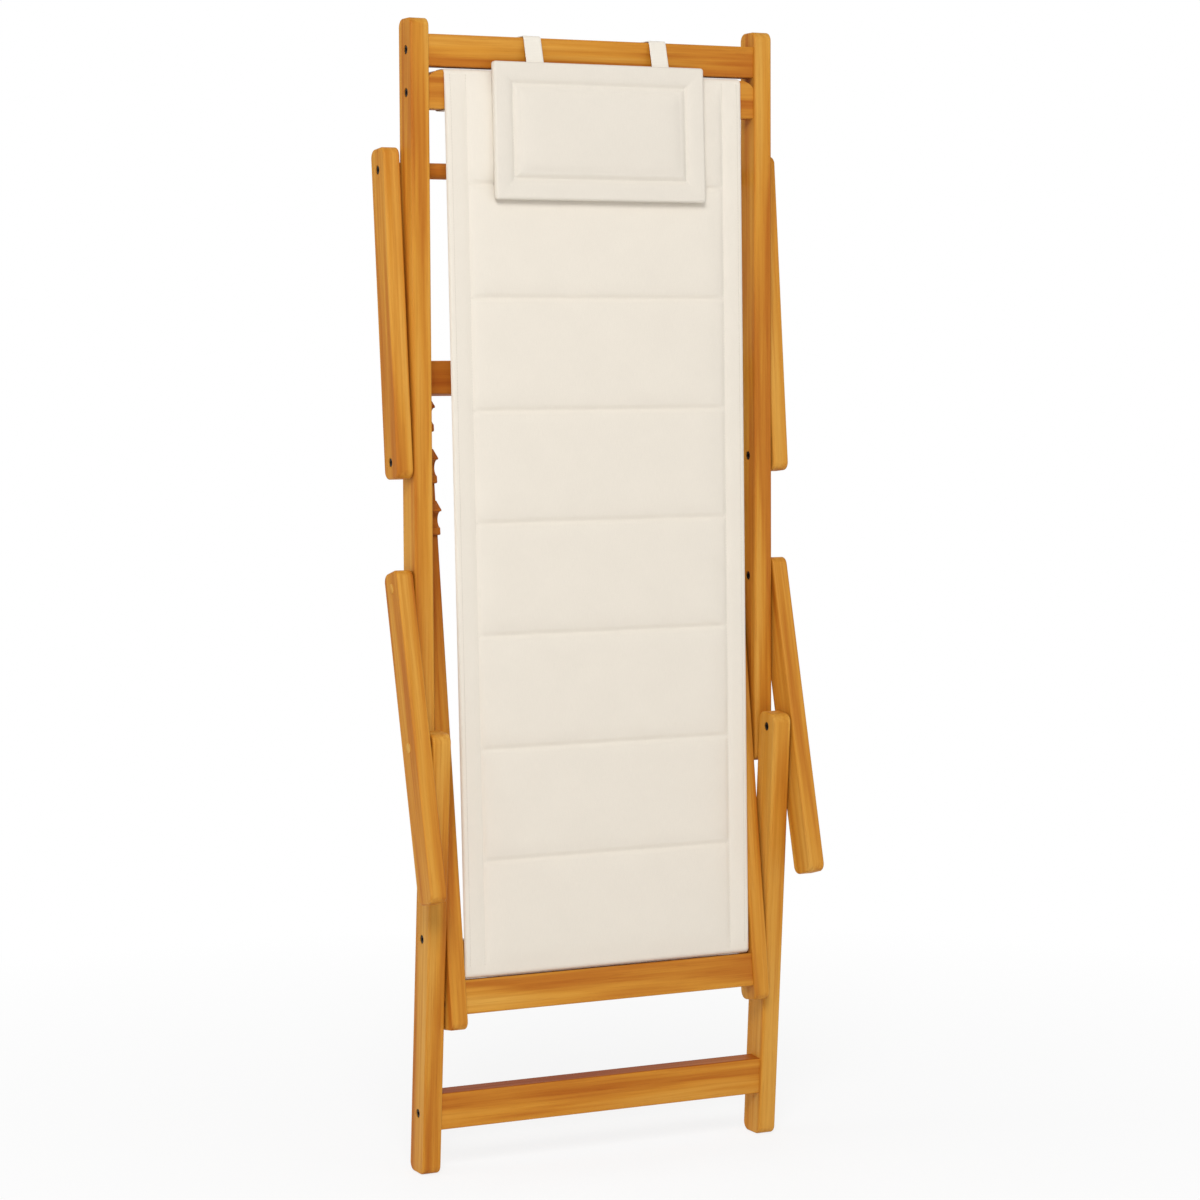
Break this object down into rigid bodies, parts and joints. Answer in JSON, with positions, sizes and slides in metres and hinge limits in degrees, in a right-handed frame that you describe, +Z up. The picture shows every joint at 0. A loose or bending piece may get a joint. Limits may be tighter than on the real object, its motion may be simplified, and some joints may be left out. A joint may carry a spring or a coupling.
{
  "type": "folding deck chair",
  "caption": "Folding deck chair, folded flat and standing upright: oiled wooden frames on pivots, arms, notched rack, prop, quilted sling and head pillow.",
  "frame": {"origin": "on the floor, in the middle of the folded chair's footprint, 13.7 mm in front of the centre line of the upright back rails", "axes": "+X across the chair, +Y towards its back and the prop, +Z up; the chair is folded flat and stands on its front legs"},
  "size_m": [0.6032, 0.2256, 1.5695],
  "materials": {
    "wood": "satin",
    "plugs": "satin",
    "canvas": "matte",
    "webbing": "matte",
    "hardware": "satin",
    "washers": "satin"
  },
  "bodies": {
    "back_frame": {"back_rail_left": "wood", "back_rail_right": "wood", "head_bar": "wood", "sling_bar": "wood", "back_frame_bolts": "hardware", "seat_pivot_bolts": "hardware", "seat_pivot_nuts": "hardware", "seat_pivot_washers": "washers", "arm_pivot_bolts": "hardware", "arm_pivot_nuts": "hardware", "arm_pivot_washers": "washers", "prop_pivot_bolts": "hardware", "prop_pivot_nuts": "hardware", "prop_pivot_washers": "washers", "sling": "canvas", "head_pillow": "canvas", "pillow_strap_left": "webbing", "pillow_strap_right": "webbing"},
    "seat_frame": {"seat_rail_left": "wood", "seat_rail_right": "wood", "seat_front_bar": "wood", "seat_rear_bar": "wood", "seat_sling_bar": "wood", "seat_frame_bolts": "hardware", "sling_hem": "canvas"},
    "front_legs": {"front_leg_left": "wood", "front_leg_right": "wood", "foot_bar": "wood", "foot_bar_bolts": "hardware", "leg_pivot_bolts": "hardware", "leg_pivot_nuts": "hardware", "leg_pivot_washers": "washers", "arm_joint_bolts": "hardware", "arm_joint_nuts": "hardware", "arm_joint_washers": "washers"},
    "arm_left": {"arm_left": "wood", "arm_plugs_left": "plugs"},
    "arm_right": {"arm_right": "wood", "arm_plugs_right": "plugs"},
    "prop_frame": {"prop_leg_left": "wood", "prop_leg_right": "wood", "prop_bar": "wood", "prop_bar_bolts": "hardware"}
  },
  "joints": [
    {"name": "fold", "type": "hinge", "parent": "back_frame", "child": "seat_frame", "pos_m": [0, 0.0137, 0.5625], "axis": [-1, 0, 0], "range_deg": [0, 60.85]},
    {"name": "leg_fold", "type": "hinge", "parent": "seat_frame", "child": "front_legs", "pos_m": [0, -0.01849, 0.32749], "axis": [-1, 0, 0], "range_deg": [-53.6, 0]},
    {"name": "arm_left_swing", "type": "hinge", "parent": "back_frame", "child": "arm_left", "pos_m": [0, 0.0137, 0.8035], "axis": [-1, 0, 0], "range_deg": [0, 59.3]},
    {"name": "arm_right_swing", "type": "hinge", "parent": "back_frame", "child": "arm_right", "pos_m": [0, 0.0137, 0.8035], "axis": [-1, 0, 0], "range_deg": [0, 59.3]},
    {"name": "prop_swing", "type": "hinge", "parent": "back_frame", "child": "prop_frame", "pos_m": [0, 0.0137, 0.9745], "axis": [-1, 0, 0], "range_deg": [0, 126.21]}
  ],
  "couplings": [
    {"joint": "leg_fold", "follows": "fold", "ratio": -0.88072},
    {"joint": "arm_left_swing", "follows": "fold", "ratio": 0.97369},
    {"joint": "arm_right_swing", "follows": "fold", "ratio": 0.97369}
  ]
}
